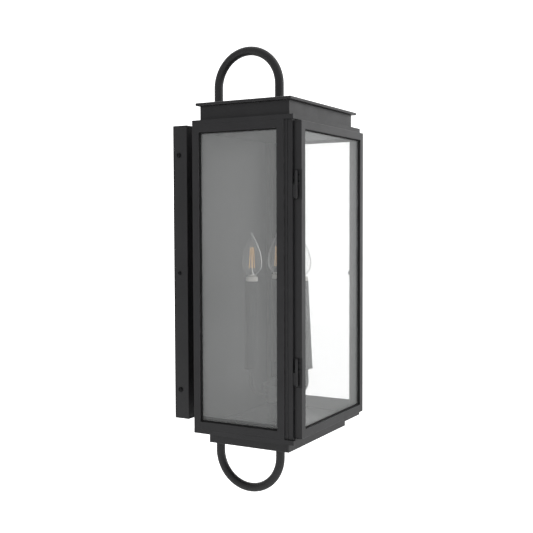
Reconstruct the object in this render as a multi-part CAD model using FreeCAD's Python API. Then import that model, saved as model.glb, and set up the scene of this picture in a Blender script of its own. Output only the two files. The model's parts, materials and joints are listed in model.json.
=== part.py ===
import FreeCAD, Part
import math
import os

# Outdoor wall lantern. A glazed metal box with a hinged front door hangs between two crook tubes, which
# grow out of a spine on a tall wall pan. Three candle lamps stand on a hub on the box's floor.
# Millimetres. The origin is the centre of the wall bracket's back face, on the wall.
# +X runs along the wall, -Y comes out of the wall to the lantern's front, and +Z is up.

V = FreeCAD.Vector
UP = V(0, 0, 1)
OUT = V(0, -1, 0)
SIDE = V(1, 0, 0)

# ---------------------------------------------------------------- driving dimensions
sheet = 1.5                     # folded sheet metal
fit = 0.05                      # radial play of a piece pressed or threaded into another
gap = 0.3                       # play between pieces that only stand side by side

# wall side
pan_width, pan_height, pan_depth = 184.0, 512.0, 26.5
seal_thickness = 2.0            # foam seal between the pan's rim and the wall
bracket_sheet = 1.6
bracket_side_gap = 0.5          # from the bracket's flange to the inside of the pan
bracket_end_gap = 6.0
bracket_flange = 20.0
wall_hole_radius = 3.0
wall_hole_x = 120.0             # between the wall screws, side to side
wall_hole_inset = 56.0          # from the pan's ends to the wall screws
outlet_z = 90.0                 # centre of the outlet box behind the bracket
outlet_hole_radius = 25.0
outlet_slot_spacing = 88.9
outlet_slot_radius, outlet_slot_length = 2.5, 14.0
pan_screw_inset = 51.0          # from the pan's ends to the outer side screws
pan_screw_radius = 2.5
pan_screw_head_radius, pan_screw_head_height = 4.4, 3.2
pan_screw_middle_scale = 0.75   # the middle screw on each side is smaller
pan_screw_from_wall = 11.5

# spine and crooks
tube_radius, tube_bore_radius = 7.95, 5.0
spine_gap = 0.3                 # from the tube to the pan's front
crook_radius = 62.2             # centreline radius of the half-round bend
crook_leg_top, crook_leg_bottom = 42.2, 42.4    # straight front legs, from the body to the bends
crook_joint_from_bend = 27.3    # where spine and crooks meet
spigot_length = 36.0
saddle_inset = 76.0             # from the pan's ends to the saddles
saddle_width, saddle_height, saddle_cap_depth = 40.0, 24.0, 10.0
saddle_screw_x, saddle_screw_radius = 14.0, 2.0
saddle_head_radius, saddle_head_height = 3.6, 2.4
wire_hole_radius = 3.5
nipple_length, nipple_bore_radius = 34.0, 3.4
nut_across, nut_height = 17.0, 6.0
service_hole_radius = 15.0      # in the trays, for the spanner that turns the crooks' nuts
washer_radius, washer_height = 12.0, 1.6

# lantern body
body_standoff = 66.6            # from the wall to the back of the body
body_depth = 186.2              # back of the body to the front of the posts
body_half_width = 128.0         # outside of the posts
body_height = 525.0
body_bottom = -267.2
tray_height = 7.4               # folded rim of the top and base trays
tray_front_overhang = 3.5
post_side, post_wall, post_plug = 9.5, 1.2, 15.0
corner_screw_inset_x, corner_screw_inset_y = 3.5, 4.2
corner_screw_radius, corner_screw_length = 2.0, 12.0
corner_head_radius = 3.3
floor_rise = 5.7                # from the body's bottom to the inner floor
ceiling_drop = 18.5             # from the body's top to the ceiling
cap_riser_height, cap_thickness = 24.2, 4.7
# how far each step stands in from the posts' outside: side, rear, front
cap_riser_inset = (7.0, 9.2, 8.8)
cap_inset = (-0.9, 4.9, 2.2)
base_box_inset, base_box_height = (16.6, 17.7, 16.2), 18.7

# fixed side windows: one frame, turned end for end on the other side
side_frame_setback = 13.5       # how much shorter the frame is than the body
side_frame_thickness = 4.0
tongue_thickness, tongue_lap = 1.2, 0.8         # thin strip that closes the frame onto the bare post
side_gasket_thickness, side_gasket_show = 1.0, 2.3
glass_thickness = 3.0
glass_lap_stile, glass_lap_rail = 1.4, 6.5       # of the glass behind the frame
bead_thickness, bead_back_off = 3.0, 0.5
bead_show_top, bead_show_bottom = 3.7, 8.3      # the bead's rails stand inside the frame's opening
clip_length, clip_reach, clip_thickness = 7.0, 1.6, 1.0

# door
door_inset = 5.0                # from the posts' outside to the door's edge
door_thickness = 13.3
door_gap = 0.6                  # between the door's back and the posts
door_end_gap = 2.1              # between the door and the trays' rims
door_stile, door_top_rail, door_bottom_rail = 12.8, 13.0, 14.0
door_lip, door_rebate = 3.4, 5.0
gasket_thickness, gasket_show = 1.0, 2.4
pull_length, pull_thickness, pull_depth = 64.0, 2.0, 2.7
pull_above_middle = 14.2

# hinges: two lift-off barrels in the corner between the left post and the door's edge
hinge_inset_top, hinge_inset_bottom = 100.8, 106.7      # from the door's ends to the hinges' middles
barrel_radius, knuckle_length, knuckle_gap = 2.5, 20.3, 0.3
barrel_edge_gap = 0.3           # from the barrel to the door's edge
barrel_forward = 5.5            # barrel's axis in front of the posts
hinge_pin_radius, hinge_pin_play = 1.3, 0.06
hinge_tip_radius, hinge_tip_height = 1.9, 1.8
hinge_web = 1.6
hinge_leaf_thickness, hinge_leaf_depth = 1.2, 10.0
hinge_notch_height = 48.0
hinge_screw_radius, hinge_screw_length = 1.2, 6.0

# magnetic catch and bumpers, between the right post and the door's back
catch_spacing = 40.0            # between the two magnets
magnet_radius, magnet_length, magnet_proud = 1.9, 5.0, 0.4
strike_radius, strike_thickness = 2.1, 1.2
bumper_radius, bumper_height, bumper_end = 2.1, 0.4, 30.0

# candle lamps
hub_set_back = 2.3              # from the body's middle towards the wall
hub_radius, hub_foot_radius, hub_rim_radius = 25.0, 16.0, 27.8
hub_foot_height, hub_foot_taper = 31.1, 5.0
hub_height, hub_rim_height, hub_dome_height = 61.5, 3.0, 11.0
hub_dome_top_radius, hub_button_radius = 9.0, 5.5
hub_bolt_radius, hub_bolt_drop, hub_nut_across, hub_nut_height = 4.9, 9.0, 14.0, 4.5
arm_radius, arm_bore_radius, arm_bend_radius = 3.4, 2.4, 26.0
arm_above_floor = 48.6
arm_inside_hub = 6.0
hub_wall = 2.0                  # floor and roof of the wire chamber inside the hub
lamp_circle_radius = 55.1
# direction of each arm about the hub in degrees, and how far its candle leans in towards the hub
lamps = {"front": (-90.0, 3.0), "left": (150.0, 0.7), "right": (30.0, 1.5)}
candle_above_floor = 96.5       # bottom of the sleeves
cup_radius, cup_lip, cup_cone = 12.0, 2.2, 3.2
sleeve_radius, sleeve_bore_radius, sleeve_length = 11.0, 10.4, 151.7
cup_post_radius, cup_post_height = 4.8, 104.0
socket_radius, collar_radius, collar_height = 10.1, 10.3, 7.4
bulb_base_radius, bulb_base_length, bulb_base_above_collar = 6.2, 26.0, 4.0
bulb_tip_radius, bulb_tip_height = 3.0, 2.0
bulb_base_play = 0.08           # radial play of a bulb's base in its socket
glass_wall = 0.8
# outside of the bulb's glass above its neck: radius, and height above the socket's collar
bulb_outline = ((13.3, 8.3), (17.6, 26.0), (15.4, 46.5), (9.2, 60.5), (2.2, 71.5))
bulb_neck_height = 0.5
bulb_height = 76.5
filament_radius, filament_low, filament_high = 0.65, 15.0, 51.0
filament_low_circle, filament_high_circle, filament_count = 4.6, 2.8, 4
stem_radius, stem_top_radius = 2.6, 1.1

# ---------------------------------------------------------------- levels that follow from them
pan_rim_y = -seal_thickness
pan_front_y = pan_rim_y - pan_depth
wall_hole_z = pan_height - 2 * wall_hole_inset
pan_screw_z = (pan_screw_inset - pan_height / 2, 0.0, pan_height / 2 - pan_screw_inset)
saddle_z = pan_height / 2 - saddle_inset
bracket_half_width = pan_width / 2 - sheet - bracket_side_gap
bracket_half_height = pan_height / 2 - sheet - bracket_end_gap
spine_y = pan_front_y - spine_gap - tube_radius
crook_front_y = spine_y - 2 * crook_radius
body_rear_y = -body_standoff
body_front_y = body_rear_y - body_depth
body_centre_y = (body_rear_y + body_front_y) / 2
body_top = body_bottom + body_height
rim_low, rim_high = body_bottom + tray_height, body_top - tray_height
tray_half_width = body_half_width + side_frame_thickness
tray_front_y = body_front_y - tray_front_overhang
panel_front_y = body_rear_y - sheet
floor_z = body_bottom + floor_rise
ceiling_z = body_top - ceiling_drop
cap_low_z = body_top + cap_riser_height
cap_top_z = cap_low_z + cap_thickness
base_box_z = body_bottom - base_box_height
upper_bend_z = cap_top_z + crook_leg_top
lower_bend_z = base_box_z - crook_leg_bottom
hub_y = body_centre_y + hub_set_back
side_member = sheet + post_side + gap + glass_lap_stile      # width of the side frames' members
side_opening_low, side_opening_high = rim_low + side_member, rim_high - side_member
glass_outer_x = -body_half_width + side_gasket_thickness
glass_inner_x = glass_outer_x + glass_thickness
door_half_width = body_half_width - door_inset
door_low, door_high = rim_low + door_end_gap, rim_high - door_end_gap
door_back_y = body_front_y - door_gap
door_front_y = door_back_y - door_thickness
door_glass_front_y = door_front_y + door_lip + gasket_thickness
door_bead_front_y = door_glass_front_y + glass_thickness
door_bead_back_y = door_bead_front_y + bead_thickness
pull_centre_z = (rim_low + rim_high) / 2 + pull_above_middle
hinge_z = (door_high - hinge_inset_top, door_low + hinge_inset_bottom)
hinge_x = -(door_half_width + barrel_edge_gap + barrel_radius)
hinge_y = body_front_y - barrel_forward
candle_z = floor_z + candle_above_floor
arm_z = floor_z + arm_above_floor
collar_z = sleeve_length + collar_height


# ---------------------------------------------------------------- shapes
def box(x, y, z):
    """A block between two limits on each axis, in either order."""
    low = V(min(x), min(y), min(z))
    size = V(max(x), max(y), max(z)) - low
    return Part.makeBox(size.x, size.y, size.z, low)


def rod(radius, start, direction, length):
    return Part.makeCylinder(radius, length, start, direction)


def pipe(radius, bore, start, direction, length):
    return rod(radius, start, direction, length).cut(rod(bore, start, direction, length))


def cone(radius, end_radius, start, direction, length):
    return Part.makeCone(radius, end_radius, length, start, direction)


def window(x, y, z, left, right, low, high):
    """A flat frame in the XZ plane, with its four members' widths."""
    hole = box((x[0] + left, x[1] - right), (y[0] - 1, y[1] + 1), (z[0] + low, z[1] - high))
    return box(x, sorted(y), z).cut(hole)


def group(solids):
    return Part.makeCompound(list(solids))


def hexagon(across, start, direction, height):
    """A hexagonal prism with its base centre at start, for directions along Z."""
    corner = across / math.sqrt(3)
    points = [V(corner * math.cos(math.radians(60 * i)), corner * math.sin(math.radians(60 * i)), 0)
              for i in range(7)]
    face = Part.Face(Part.makePolygon([start + p for p in points]))
    return face.extrude(direction * height)


def revolve(points):
    """A closed outline of (radius, height) pairs turned about Z."""
    face = Part.Face(Part.makePolygon([V(r, 0, z) for r, z in points + points[:1]]))
    return face.revolve(V(0, 0, 0), UP, 360)


def slot(centre, length, radius, depth):
    """A slot along X, cut through along Y."""
    reach = length / 2 - radius
    ends = [rod(radius, centre + V(side * reach, 0, 0), OUT, depth) for side in (-1, 1)]
    middle = box((centre.x - reach, centre.x + reach), (centre.y, centre.y - depth),
                 (centre.z - radius, centre.z + radius))
    return middle.fuse(ends)


def screw(head, direction, radius, length, head_radius, head_height):
    """A pan-head screw: its shank runs along direction from the head's seat."""
    shank = rod(radius, head, direction, length)
    seat = rod(head_radius, head, direction * -1, head_height * 0.5)
    top = cone(head_radius, head_radius * 0.62, head - direction * head_height * 0.5, direction * -1,
               head_height * 0.5)
    return shank.fuse([seat, top]).removeSplitter()


def countersunk(point, direction, radius, length, head_radius):
    """A flat screw whose head is flush with the surface at point."""
    head = cone(head_radius, radius, point, direction, head_radius - radius)
    return head.fuse(rod(radius, point, direction, length)).removeSplitter()


# ---------------------------------------------------------------- wall side
def outlet_slots():
    return [V(side * outlet_slot_spacing / 2, 0, outlet_z) for side in (-1, 1)]


def pan_screw_points():
    """Each side screw's place on the pan's side, its direction inwards, and its scale."""
    y = -pan_screw_from_wall
    places = []
    for side in (-1, 1):
        for z in pan_screw_z:
            scale = pan_screw_middle_scale if z == pan_screw_z[1] else 1.0
            places.append((V(side * pan_width / 2, y, z), V(-side, 0, 0), scale))
    return places


def wall_bracket():
    half, tall = bracket_half_width, bracket_half_height
    plate = box((-half, half), (0, -bracket_sheet), (-tall, tall))
    for side in (-1, 1):
        outer = side * half
        inner = side * (half - bracket_sheet)
        plate = plate.fuse(box((outer, inner), (0, -bracket_flange), (-tall, tall)))
    for x in (-wall_hole_x / 2, wall_hole_x / 2):
        for z in (-wall_hole_z / 2, wall_hole_z / 2):
            plate = plate.cut(rod(wall_hole_radius, V(x, 1, z), OUT, bracket_sheet + 2))
    plate = plate.cut(rod(outlet_hole_radius, V(0, 1, outlet_z), OUT, bracket_sheet + 2))
    for centre in outlet_slots():
        tool = slot(centre + V(0, 1, 0), outlet_slot_length, outlet_slot_radius, bracket_sheet + 2)
        plate = plate.cut(tool)
    for point, inwards, scale in pan_screw_points():
        hole = rod(pan_screw_radius * scale, point, inwards, sheet + bracket_side_gap + bracket_sheet + 1)
        plate = plate.cut(hole)
    return plate.removeSplitter()


def rim_seal():
    outer_x, outer_z = pan_width / 2, pan_height / 2
    width = sheet + bracket_side_gap - gap
    return window((-outer_x, outer_x), (pan_rim_y, 0), (-outer_z, outer_z), width, width, width, width)


def wall_pan():
    half, tall = pan_width / 2, pan_height / 2
    shell = box((-half, half), (pan_rim_y, pan_front_y), (-tall, tall))
    inside = box((sheet - half, half - sheet), (pan_rim_y + 1, pan_front_y + sheet), (sheet - tall, tall - sheet))
    shell = shell.cut(inside)
    for point, inwards, scale in pan_screw_points():
        shell = shell.cut(rod(pan_screw_radius * scale + fit, point - inwards, inwards, sheet + 2))
    for z in (-saddle_z, saddle_z):
        for x in (-saddle_screw_x, saddle_screw_x):
            shell = shell.cut(rod(saddle_screw_radius, V(x, pan_front_y + 3, z), OUT, 6))
    shell = shell.cut(rod(wire_hole_radius, V(0, pan_front_y + 3, -saddle_z), OUT, 6))
    return shell


def pan_screws():
    length = sheet + bracket_side_gap + bracket_sheet + 4
    return group(screw(point, inwards, pan_screw_radius * scale - fit, length,
                       pan_screw_head_radius * scale, pan_screw_head_height * scale)
                 for point, inwards, scale in pan_screw_points())


# ---------------------------------------------------------------- spine and crooks
def tube_along(edges, radius, bore):
    """A round tube along joined edges that start straight up or down."""
    wire = Part.Wire(edges)
    start = wire.OrderedVertexes[0].Point
    solids = []
    for r in (radius, bore):
        ring = Part.Wire(Part.makeCircle(r, start, UP))
        solids.append(wire.makePipeShell([ring], True, True))
    return solids[0].cut(solids[1])


def crook(bend, end_z):
    """A hook of tube in the YZ plane: along the spine, round the bend whose centre is at height bend, and
    back to end_z."""
    way = 1 if bend > end_z else -1
    middle_y = (spine_y + crook_front_y) / 2
    rear, front = V(0, spine_y, bend), V(0, crook_front_y, bend)
    crown = V(0, middle_y, bend + way * crook_radius)
    edges = [Part.LineSegment(V(0, spine_y, bend - way * crook_joint_from_bend), rear).toShape(),
             Part.Arc(rear, crown, front).toShape(),
             Part.LineSegment(front, V(0, crook_front_y, end_z)).toShape()]
    return tube_along(edges, tube_radius, tube_bore_radius)


def spine_ends():
    return lower_bend_z + crook_joint_from_bend, upper_bend_z - crook_joint_from_bend


def spine_tube():
    low, high = spine_ends()
    tube = pipe(tube_radius, tube_bore_radius, V(0, spine_y, low), UP, high - low)
    return tube.cut(rod(wire_hole_radius, V(0, spine_y, -saddle_z), V(0, 1, 0), tube_radius + 1))


def spine_spigots():
    starts = [V(0, spine_y, end - spigot_length / 2) for end in spine_ends()]
    return group(pipe(tube_bore_radius - fit, nipple_bore_radius, start, UP, spigot_length)
                 for start in starts)


def saddle_half(z, near_y, far_y):
    block = box((-saddle_width / 2, saddle_width / 2), (near_y, far_y),
                (z - saddle_height / 2, z + saddle_height / 2))
    block = block.cut(rod(tube_radius + fit, V(0, spine_y, z - saddle_height), UP, 2 * saddle_height))
    for x in (-saddle_screw_x, saddle_screw_x):
        block = block.cut(rod(saddle_screw_radius, V(x, near_y + 1, z), OUT, abs(far_y - near_y) + 2))
    return block


def spine_saddles():
    halves = [saddle_half(z, pan_front_y, spine_y) for z in (-saddle_z, saddle_z)]
    halves[0] = halves[0].cut(rod(wire_hole_radius, V(0, pan_front_y + 1, -saddle_z), OUT, spine_gap + 2))
    return group(halves)


def saddle_caps():
    return group(saddle_half(z, spine_y, spine_y - saddle_cap_depth) for z in (-saddle_z, saddle_z))


def saddle_screws():
    head_y = spine_y - saddle_cap_depth
    length = pan_front_y + sheet + 3 - head_y
    return group(screw(V(x, head_y, z), V(0, 1, 0), saddle_screw_radius - fit, length,
                       saddle_head_radius, saddle_head_height)
                 for z in (-saddle_z, saddle_z) for x in (-saddle_screw_x, saddle_screw_x))


def crook_seats():
    """Where each crook's front leg meets the body, and the way into the body."""
    return [(V(0, crook_front_y, cap_top_z), UP * -1, cap_thickness),
            (V(0, crook_front_y, base_box_z), UP, sheet)]


def crook_nipples():
    tubes = []
    for seat, inwards, plate in crook_seats():
        start = seat - inwards * (nipple_length / 2)
        tubes.append(pipe(tube_bore_radius - fit, nipple_bore_radius, start, inwards,
                          nipple_length / 2 + plate + washer_height + nut_height + 1.5))
    return group(tubes)


def crook_washers():
    return group(pipe(washer_radius, tube_bore_radius, seat + inwards * plate, inwards, washer_height)
                 for seat, inwards, plate in crook_seats())


def crook_nuts():
    nuts = []
    for seat, inwards, plate in crook_seats():
        start = seat + inwards * (plate + washer_height)
        nut = hexagon(nut_across, start, inwards, nut_height)
        nuts.append(nut.cut(rod(tube_bore_radius, start, inwards, nut_height)))
    return group(nuts)


# ---------------------------------------------------------------- lantern body
def footprint(inset, z):
    """A block over the body's plan, set in at its sides, rear and front."""
    side, rear, front = inset
    half = body_half_width - side
    return box((-half, half), (body_rear_y - rear, body_front_y + front), z)


def folded(inset, z, floor=0):
    """A folded sheet box open at the top; with no floor it is a ring."""
    inner = [edge + sheet for edge in inset]
    return footprint(inset, z).cut(footprint(inner, (z[0] + floor, z[1])))


def cap_plate():
    plate = footprint(cap_inset, (cap_low_z, cap_top_z))
    upper = [edge for edge in plate.Edges if edge.CenterOfMass.z > cap_top_z - 0.01]
    plate = plate.makeChamfer(0.8, upper)
    return plate.cut(rod(tube_bore_radius, V(0, crook_front_y, cap_low_z - 1), UP, cap_thickness + 2))


def cap_riser():
    return folded(cap_riser_inset, (body_top, cap_low_z))


def base_box():
    shell = folded(base_box_inset, (base_box_z, body_bottom), sheet)
    return shell.cut(rod(tube_bore_radius, V(0, crook_front_y, base_box_z - 1), UP, sheet + 2))


def tray(face_z, way):
    """A shallow tray: its sheet lies at face_z and its rim turns way."""
    half = tray_half_width
    rim_z = face_z + way * tray_height
    block = box((-half, half), (body_rear_y, tray_front_y), (face_z, rim_z))
    inside = box((sheet - half, half - sheet), (body_rear_y - sheet, tray_front_y + sheet),
                 (face_z + way * sheet, rim_z + way))
    shell = block.cut(inside)
    for point in corner_screw_points():
        sink = cone(corner_head_radius, corner_screw_radius, V(point.x, point.y, face_z), UP * way,
                    corner_head_radius - corner_screw_radius)
        shell = shell.cut([sink, rod(corner_screw_radius, V(point.x, point.y, face_z), UP * way, sheet + 1)])
    return shell


def service_hole(face_z):
    return rod(service_hole_radius, V(0, crook_front_y, face_z - 2 * sheet), UP, 4 * sheet)


def top_tray():
    return tray(body_top, -1).cut(service_hole(body_top))


def base_tray():
    return tray(body_bottom, 1).cut(service_hole(body_bottom))


def post_corners():
    """Outer corner of each post as (x, y), with the ways that its section grows."""
    rear, front = panel_front_y, body_front_y
    return {"rear_left": (-body_half_width, rear, 1, -1), "rear_right": (body_half_width, rear, -1, -1),
            "front_left": (-body_half_width, front, 1, 1), "front_right": (body_half_width, front, -1, 1)}


def corner_screw_points():
    return [V(x + sx * corner_screw_inset_x, y + sy * corner_screw_inset_y, 0)
            for x, y, sx, sy in post_corners().values()]


def corner_post(x, y, sx, sy):
    low, high = body_bottom + sheet, body_top - sheet
    bar = box((x, x + sx * post_side), (y, y + sy * post_side), (low, high))
    hollow = box((x + sx * post_wall, x + sx * (post_side - post_wall)),
                 (y + sy * post_wall, y + sy * (post_side - post_wall)), (low + post_plug, high - post_plug))
    bar = bar.cut(hollow)
    centre = V(x + sx * corner_screw_inset_x, y + sy * corner_screw_inset_y, 0)
    for z, way in ((low, 1), (high, -1)):
        bar = bar.cut(rod(corner_screw_radius, V(centre.x, centre.y, z - way), UP * way,
                          corner_screw_length + 1))
    return bar


def corner_screws():
    screws = []
    for point in corner_screw_points():
        for z, way in ((body_bottom, 1), (body_top, -1)):
            screws.append(countersunk(V(point.x, point.y, z), UP * way, corner_screw_radius - fit,
                                      corner_screw_length, corner_head_radius - fit))
    return group(screws)


def back_panel():
    return box((-body_half_width, body_half_width), (body_rear_y, panel_front_y), (rim_low, rim_high))


def inner_half_width():
    """Room between the beads of the two side windows."""
    return -glass_inner_x - bead_thickness - gap


def inner_panel(face_z, way):
    """The floor or the ceiling: a sheet between the posts, with its front and rear edges turned way."""
    half = inner_half_width()
    rear, front = panel_front_y - gap, body_front_y + gap
    edge_z = (body_bottom if way < 0 else body_top) - way * sheet
    sheet_z = (face_z, face_z + way * sheet)
    panel = box((-half, half), (rear, front), sheet_z)
    for y, inwards in ((rear, -1), (front, 1)):
        panel = panel.fuse(box((-half, half), (y, y + inwards * sheet), (face_z, edge_z)))
    for x, y, sx, sy in post_corners().values():
        reach = post_side + gap
        panel = panel.cut(box((x - sx, x + sx * reach), (y - sy, y + sy * reach), (body_bottom, body_top)))
    return panel.removeSplitter()


def floor_panel():
    return inner_panel(floor_z, -1).cut(rod(hub_bolt_radius, V(0, hub_y, floor_z - 2 * sheet), UP, 3 * sheet))


def ceiling_panel():
    return inner_panel(ceiling_z, 1)


# ---------------------------------------------------------------- side windows
def turned(shape):
    """The same piece turned end for end onto the other side of the body."""
    copy = shape.copy()
    copy.rotate(V(0, body_centre_y, 0), UP, 180)
    return copy


def side_ring(x, rear, front, low, high, hole):
    """A flat ring in the YZ plane; hole gives its opening's rear, front, low and high."""
    ring = box(x, (rear, front), (low, high))
    return ring.cut(box((min(x) - 1, max(x) + 1), hole[:2], hole[2:]))


def side_opening(grow):
    """The left window's opening, made larger all round by grow."""
    rear = body_rear_y - side_member
    front = body_front_y + side_frame_setback + side_member
    return (rear + grow, front - grow, side_opening_low - grow, side_opening_high + grow)


def glass_limits():
    """The glass fits between the posts on either side of the body."""
    half = body_depth / 2 - sheet - post_side - gap
    return (body_centre_y + half, body_centre_y - half, side_opening_low - glass_lap_rail,
            side_opening_high + glass_lap_rail)


def side_frame():
    """A flat frame with a thin tongue along its front, which laps onto the post's bare face."""
    front = body_front_y + side_frame_setback
    ring = side_ring((-tray_half_width, -body_half_width), body_rear_y, front, rim_low, rim_high,
                     side_opening(0))
    tongue_tip = body_front_y + post_side - tongue_lap
    tongue = box((-body_half_width - tongue_thickness, -body_half_width), (front, tongue_tip),
                 (rim_low, rim_high))
    return ring.fuse(tongue).removeSplitter()


def side_gasket():
    rear, front, low, high = glass_limits()
    return side_ring((-body_half_width, glass_outer_x), rear, front, low, high,
                     side_opening(-side_gasket_show))


def side_glass():
    rear, front, low, high = glass_limits()
    return box((glass_outer_x, glass_inner_x), (rear, front), (low, high))


def side_bead():
    """A ring behind the glass whose rails stand further into the opening than its stiles."""
    rear, front, low, high = glass_limits()
    hole_rear, hole_front = side_opening(bead_back_off)[:2]
    hole = (hole_rear, hole_front, side_opening_low + bead_show_bottom, side_opening_high - bead_show_top)
    return side_ring((glass_inner_x, glass_inner_x + bead_thickness), rear, front, rim_low + gap, high, hole)


def side_clips():
    """Two small clips at mid height that hold the bead and show at the opening's edges."""
    middle = (rim_low + rim_high) / 2
    z = (middle - clip_length / 2, middle + clip_length / 2)
    bead_face = glass_inner_x + bead_thickness
    rear, front = side_opening(0)[:2]
    clips = []
    for edge, inwards in ((rear, -1), (front, 1)):
        root = edge - inwards * glass_lap_stile
        ledge = edge - inwards * (bead_back_off - gap / 2)
        tip = edge + inwards * clip_reach
        cover = box((bead_face, bead_face + clip_thickness), (root, tip), z)
        leg = box((glass_inner_x + fit, bead_face), (ledge, tip), z)
        clips.append(cover.fuse(leg).removeSplitter())
    return clips


# ---------------------------------------------------------------- door
def door_frame():
    half = door_half_width
    block = box((-half, half), (door_back_y, door_front_y), (door_low, door_high))
    opening = box((door_stile - half, half - door_stile), (door_back_y + 1, door_front_y - 1),
                  (door_low + door_bottom_rail, door_high - door_top_rail))
    rebate = door_rebate_box((door_back_y + 1, door_front_y + door_lip), 0)
    block = block.cut([opening, rebate])
    for z in hinge_z:
        notch = box((-half - 1, -half + hinge_leaf_thickness), (door_back_y + 1, door_front_y - 1),
                    (z - hinge_notch_height / 2, z + hinge_notch_height / 2))
        block = block.cut(notch)
    for point in hinge_screw_points():
        block = block.cut(rod(hinge_screw_radius, point, SIDE, hinge_screw_length))
    for point in catch_points():
        block = block.cut(rod(strike_radius + fit, V(point.x, door_back_y + 1, point.z), OUT,
                              strike_thickness + 1))
    front = [edge for edge in block.Edges if is_front_outline(edge)]
    return block.makeChamfer(0.5, front)


def is_front_outline(edge):
    """True for the long edges round the outside of the door's front face."""
    centre = edge.CenterOfMass
    on_front = abs(centre.y - door_front_y) < 0.01
    at_side = abs(abs(centre.x) - door_half_width) < 0.01
    at_end = min(abs(centre.z - door_low), abs(centre.z - door_high)) < 0.01
    return on_front and edge.Length > 100 and (at_end or (at_side and centre.x > 0))


def door_rebate_box(y, play):
    """The space behind the door's front lip, made smaller all round by play."""
    half = door_half_width - door_stile + door_rebate - play
    low = door_low + door_bottom_rail - door_rebate + play
    high = door_high - door_top_rail + door_rebate - play
    return box((-half, half), y, (low, high))


def door_glass():
    return door_rebate_box((door_glass_front_y, door_bead_front_y), gap)


def door_gasket():
    hole = box((door_stile - door_half_width + gasket_show, door_half_width - door_stile - gasket_show),
               (door_back_y, door_front_y),
               (door_low + door_bottom_rail + gasket_show, door_high - door_top_rail - gasket_show))
    return door_rebate_box((door_front_y + door_lip, door_glass_front_y), gap).cut(hole)


def door_bead():
    hole = door_rebate_box((door_back_y, door_front_y), door_rebate - bead_back_off)
    return door_rebate_box((door_bead_front_y, door_bead_back_y), gap).cut(hole)


def finger_pull():
    """A thin grip on the inside edge of the door's right stile, in front of the glass."""
    x = door_half_width - door_stile
    return box((x - pull_thickness, x), (door_front_y + door_lip - pull_depth, door_front_y + door_lip),
               (pull_centre_z - pull_length / 2, pull_centre_z + pull_length / 2))


# ---------------------------------------------------------------- hinges
def hinge_point(z):
    return V(hinge_x, hinge_y, z)


def post_knuckles():
    """The lower half of each hinge: a knuckle on a web that runs back to the post, and its tip."""
    knuckles = []
    for z in hinge_z:
        low = hinge_point(z - knuckle_gap / 2 - knuckle_length)
        body = rod(barrel_radius, low, UP, knuckle_length)
        web = box((hinge_x - hinge_web / 2, hinge_x + hinge_web / 2), (hinge_y, body_front_y),
                  (low.z, low.z + knuckle_length))
        tip = rod(hinge_tip_radius, low - UP * hinge_tip_height, UP, hinge_tip_height)
        solid = body.fuse([web, tip]).cut(rod(hinge_pin_radius + 0.01, low, UP, knuckle_length))
        knuckles.append(solid.removeSplitter())
    return group(knuckles)


def door_leaves():
    """The upper half of each hinge: a knuckle on a leaf let into the door's edge, and its tip."""
    leaves = []
    edge_x = -door_half_width + hinge_leaf_thickness
    for z in hinge_z:
        low = hinge_point(z + knuckle_gap / 2)
        body = rod(barrel_radius, low, UP, knuckle_length)
        web = box((hinge_x, edge_x), (hinge_y - hinge_web / 2, hinge_y + hinge_web / 2),
                  (low.z, low.z + knuckle_length))
        leaf = box((edge_x - hinge_leaf_thickness, edge_x),
                   (hinge_y + hinge_leaf_depth * 0.42, hinge_y - hinge_leaf_depth * 0.58),
                   (low.z, low.z + knuckle_length))
        tip = rod(hinge_tip_radius, low + UP * knuckle_length, UP, hinge_tip_height)
        bore = rod(hinge_pin_radius + hinge_pin_play, low, UP, knuckle_length)
        solid = body.fuse([web, leaf, tip]).cut(bore)
        for point in hinge_screw_points():
            solid = solid.cut(rod(hinge_screw_radius, point - SIDE * 3, SIDE, 6))
        leaves.append(solid.removeSplitter())
    return group(leaves)


def hinge_screw_points():
    """Screw places on the bottom of the door's edge notch, in front of the barrel."""
    y = hinge_y - hinge_leaf_depth * 0.36
    x = -door_half_width + hinge_leaf_thickness
    quarter = knuckle_length / 4
    return [V(x, y, z + knuckle_gap / 2 + quarter * share) for z in hinge_z for share in (1, 3)]


def hinge_pins():
    length = 2 * knuckle_length + knuckle_gap - 0.5
    return group(rod(hinge_pin_radius, hinge_point(z - knuckle_gap / 2 - knuckle_length), UP, length)
                 for z in hinge_z)


def hinge_screws():
    shift = SIDE * hinge_leaf_thickness
    return group(screw(point - shift, SIDE, hinge_screw_radius - fit, hinge_screw_length, 2.0, 0.8)
                 for point in hinge_screw_points())


# ---------------------------------------------------------------- catch and bumpers
def catch_points():
    """Magnet places on the right post's front face, in the middle of the door's overlap."""
    x = (body_half_width - post_side + door_half_width) / 2
    return [V(x, body_front_y, pull_centre_z + side * catch_spacing / 2) for side in (-1, 1)]


def catch_magnets():
    return group(rod(magnet_radius, point + OUT * magnet_proud, OUT * -1, magnet_length)
                 for point in catch_points())


def catch_strikes():
    back = V(0, door_back_y - body_front_y, 0)
    return group(rod(strike_radius, point + back, OUT, strike_thickness) for point in catch_points())


def front_right_post():
    """The front right post has two pockets for the magnets."""
    post = corner_post(*post_corners()["front_right"])
    for point in catch_points():
        post = post.cut(rod(magnet_radius + fit, point + OUT, OUT * -1, magnet_length - magnet_proud + 1))
    return post


def door_bumpers():
    x = catch_points()[0].x
    return group(rod(bumper_radius, V(x, body_front_y, z), OUT, bumper_height)
                 for z in (door_low + bumper_end, door_high - bumper_end))


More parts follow.
